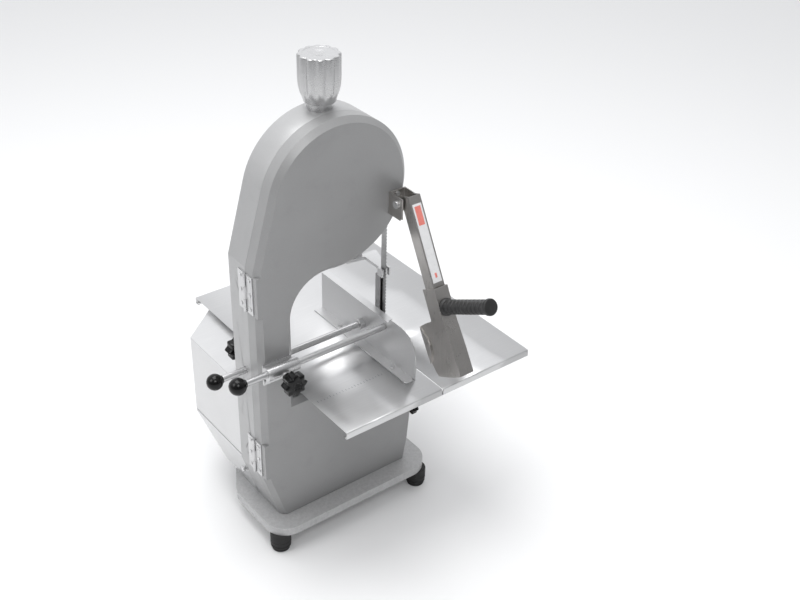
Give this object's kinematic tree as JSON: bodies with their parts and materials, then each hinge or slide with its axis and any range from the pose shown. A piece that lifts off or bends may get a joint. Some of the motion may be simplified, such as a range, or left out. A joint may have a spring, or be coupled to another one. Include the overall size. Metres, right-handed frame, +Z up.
{
  "type": "bone saw",
  "caption": "Table-top bone band saw with a C-shaped cast casing, hinged door, stainless worktable, sliding thickness fence and swinging food pusher.",
  "frame": {"origin": "on the bench, under the middle of the machine's bounding box", "axes": "+X to the operator's right, +Y away from the operator, +Z up"},
  "size_m": [0.542, 0.6033, 0.8953],
  "materials": {
    "cast_casing": "hammered silver paint",
    "cast_door": "hammered silver paint",
    "cast_base": "grained silver paint",
    "stainless": "brushed",
    "pusher_steel": "brushed, dark",
    "bright_steel": "polished",
    "blade_steel": "ground",
    "machined_aluminium": "machined",
    "plain_steel": "plain",
    "brass": "machined",
    "motor_paint": "satin",
    "black_rubber": "matt",
    "black_plastic": "glossy",
    "grip_plastic": "satin",
    "white_plastic": "satin",
    "label_vinyl": "satin",
    "green_plastic": "glossy",
    "red_plastic": "glossy"
  },
  "bodies": {
    "frame": {"base_plate": "cast_base", "rubber_feet": "black_rubber", "foot_bolts": "bright_steel", "main_casing": "cast_casing", "motor_cover": "stainless", "lower_skirt": "stainless", "worktable": "stainless", "table_rails": "plain_steel", "frame_screws": "bright_steel", "guide_arm": "stainless", "guide_block": "stainless", "blade_guard": "blade_steel", "saw_blade": "blade_steel", "lower_guide": "brass", "scrapers": "white_plastic", "scrap_tray": "stainless", "frame_hinge_leaves": "bright_steel", "slide_rails": "plain_steel", "tension_bush": "machined_aluminium", "bearing_housing": "plain_steel", "shaft_bearings": "bright_steel", "motor": "motor_paint", "motor_mount": "plain_steel", "drive_belt": "black_rubber", "rear_rod_bush": "bright_steel", "switch_box": "white_plastic", "cable_gland": "black_plastic"},
    "door": {"door_cover": "cast_door", "door_hinge_leaves": "bright_steel", "door_screws": "bright_steel", "rod_clamp": "machined_aluminium", "pusher_bracket": "pusher_steel", "pivot_bolt": "bright_steel"},
    "tension_knob": {"tension_knob": "machined_aluminium", "tension_screw": "bright_steel"},
    "carriage": {"tension_carriage": "plain_steel", "upper_axle": "bright_steel"},
    "upper_wheel": {"upper_wheel": "machined_aluminium", "upper_bearings": "bright_steel"},
    "lower_wheel": {"lower_wheel": "machined_aluminium", "drive_shaft": "bright_steel", "shaft_pulley": "machined_aluminium"},
    "motor_rotor": {"motor_shaft": "bright_steel", "motor_pulley": "machined_aluminium"},
    "fence": {"fence_plate": "stainless", "fence_screws": "bright_steel", "rear_rod": "bright_steel", "rod_nuts": "bright_steel", "rear_ball": "black_plastic"},
    "front_rod": {"front_rod": "bright_steel", "front_ball": "black_plastic"},
    "front_clamp": {"front_clamp_knob": "black_plastic"},
    "rear_clamp": {"rear_clamp_knob": "black_plastic"},
    "door_lock": {"door_lock_knob": "black_plastic"},
    "pusher": {"pusher_arm": "pusher_steel", "pusher_head": "pusher_steel", "pusher_grip": "grip_plastic", "arm_label": "label_vinyl"},
    "start_button": {"start_button": "green_plastic"},
    "stop_button": {"stop_button": "red_plastic"}
  },
  "joints": [
    {"name": "door_swing", "type": "hinge", "parent": "frame", "child": "door", "pos_m": [-0.1994, -0.016, 0.38], "axis": [0, 0, -1], "range_deg": [0, 95]},
    {"name": "tension_turn", "type": "hinge", "parent": "frame", "child": "tension_knob", "pos_m": [-0.0315, 0.01, 0.822], "axis": [0, 0, 1], "range_deg": [0, 1440]},
    {"name": "carriage_slide", "type": "slide", "parent": "frame", "child": "carriage", "axis": [0, 0, -1], "range_m": [0, 0.008]},
    {"name": "upper_wheel_spin", "type": "hinge", "parent": "carriage", "child": "upper_wheel", "pos_m": [-0.0315, -0.023, 0.672], "axis": [0, 1, 0], "continuous": true},
    {"name": "lower_wheel_spin", "type": "hinge", "parent": "frame", "child": "lower_wheel", "pos_m": [-0.0315, -0.023, 0.17592], "axis": [0, 1, 0], "continuous": true},
    {"name": "motor_spin", "type": "hinge", "parent": "frame", "child": "motor_rotor", "pos_m": [0.05, 0.056, 0.237], "axis": [0, 1, 0], "continuous": true},
    {"name": "fence_slide", "type": "slide", "parent": "frame", "child": "fence", "axis": [1, 0, 0], "range_m": [-0.15, 0]},
    {"name": "front_rod_slide", "type": "slide", "parent": "door", "child": "front_rod", "axis": [1, 0, 0], "range_m": [-0.15, 0]},
    {"name": "front_clamp_turn", "type": "hinge", "parent": "door", "child": "front_clamp", "pos_m": [-0.166, -0.1, 0.3925], "axis": [0, 1, 0], "range_deg": [-720, 0]},
    {"name": "rear_clamp_turn", "type": "hinge", "parent": "frame", "child": "rear_clamp", "pos_m": [-0.174, 0.06, 0.371], "axis": [0, 1, 0], "range_deg": [0, 720]},
    {"name": "door_lock_turn", "type": "hinge", "parent": "door", "child": "door_lock", "pos_m": [0.14, -0.028, 0.152], "axis": [1, 0, 0], "range_deg": [0, 720]},
    {"name": "pusher_swing", "type": "hinge", "parent": "door", "child": "pusher", "pos_m": [0.08, -0.072, 0.64], "axis": [1, 0, 0], "range_deg": [-60, 30]},
    {"name": "start_press", "type": "slide", "parent": "frame", "child": "start_button", "axis": [-1, 0, 0], "range_m": [0, 0.004], "stiffness_N_per_m": 600},
    {"name": "stop_press", "type": "slide", "parent": "frame", "child": "stop_button", "axis": [-1, 0, 0], "range_m": [0, 0.004], "stiffness_N_per_m": 600}
  ],
  "couplings": [
    {"joint": "carriage_slide", "follows": "tension_turn", "m_per_rad": 0.00031831},
    {"joint": "upper_wheel_spin", "follows": "lower_wheel_spin", "ratio": 1},
    {"joint": "motor_spin", "follows": "lower_wheel_spin", "ratio": 1.05},
    {"joint": "front_rod_slide", "follows": "fence_slide", "ratio": 1}
  ]
}
